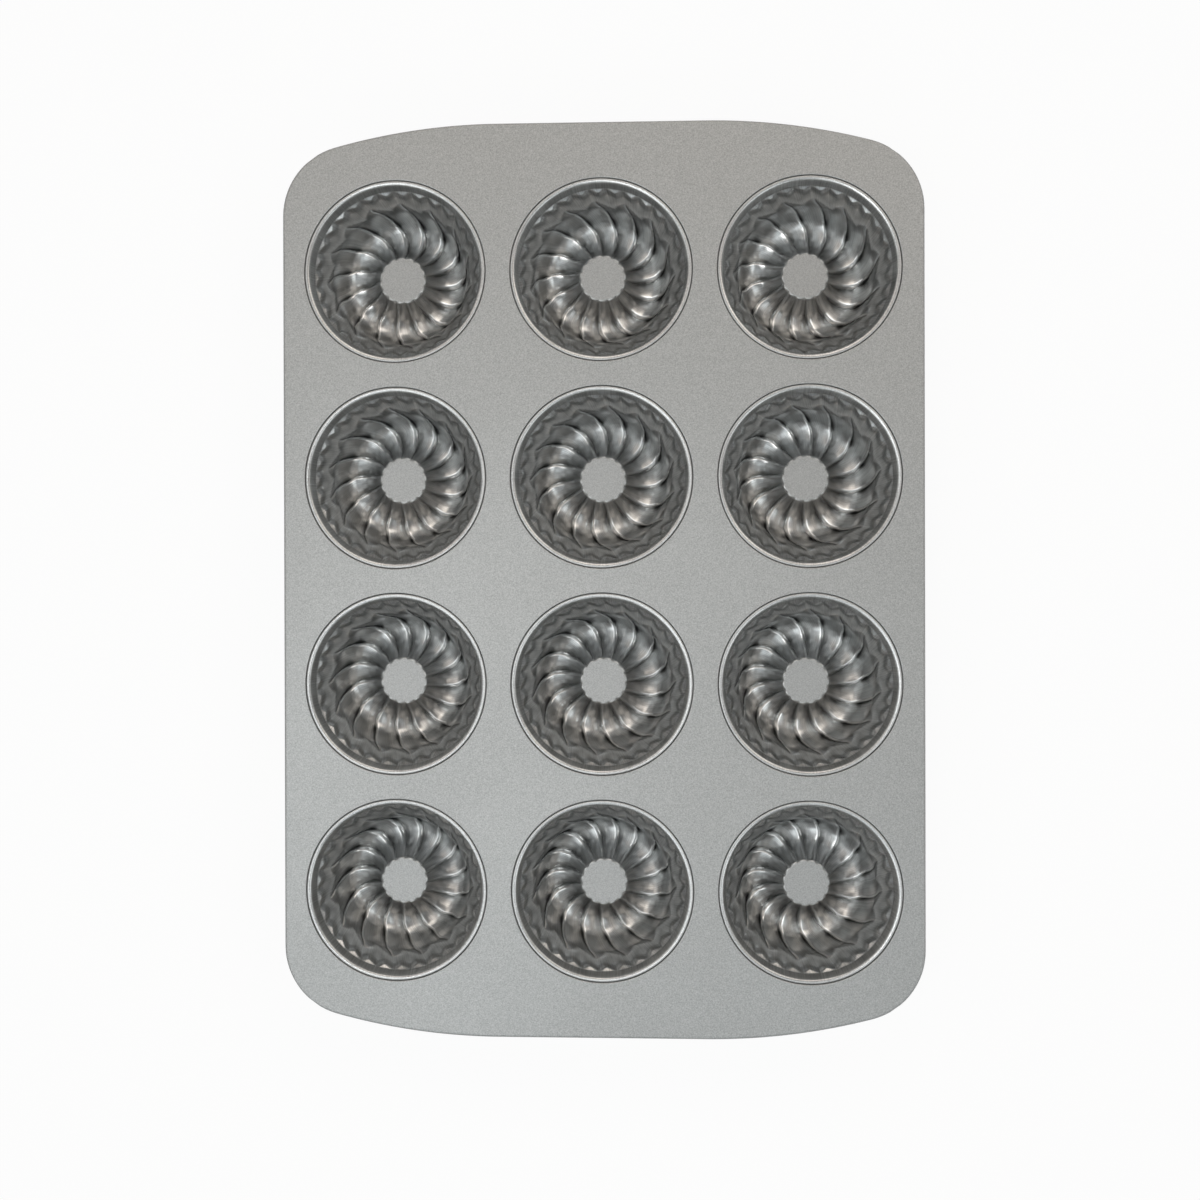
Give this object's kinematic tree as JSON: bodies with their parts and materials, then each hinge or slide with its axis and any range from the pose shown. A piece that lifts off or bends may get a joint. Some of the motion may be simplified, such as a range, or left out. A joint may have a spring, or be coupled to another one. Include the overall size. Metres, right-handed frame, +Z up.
{
  "type": "mini fluted tube pan",
  "caption": "Flat metal baking sheet holding a grid of swirl-fluted tube cups, each locked in by its lip, for baking small ring cakes.",
  "frame": {"origin": "under the middle of the pan, on the plane that the cups stand on", "axes": "+Z up, out of the cup mouths; +Y along the long side towards row 1; +X across the pan towards column 3"},
  "size_m": [0.28, 0.4, 0.037],
  "materials": {
    "tray_steel": "satin glaze on coated steel sheet",
    "cup_steel": "glossier drawn steel sheet, same coating"
  },
  "bodies": {
    "root": {"tray_sheet": "tray_steel", "cup_row1_col1": "cup_steel", "cup_row1_col2": "cup_steel", "cup_row1_col3": "cup_steel", "cup_row2_col1": "cup_steel", "cup_row2_col2": "cup_steel", "cup_row2_col3": "cup_steel", "cup_row3_col1": "cup_steel", "cup_row3_col2": "cup_steel", "cup_row3_col3": "cup_steel", "cup_row4_col1": "cup_steel", "cup_row4_col2": "cup_steel", "cup_row4_col3": "cup_steel"}
  },
  "joints": []
}
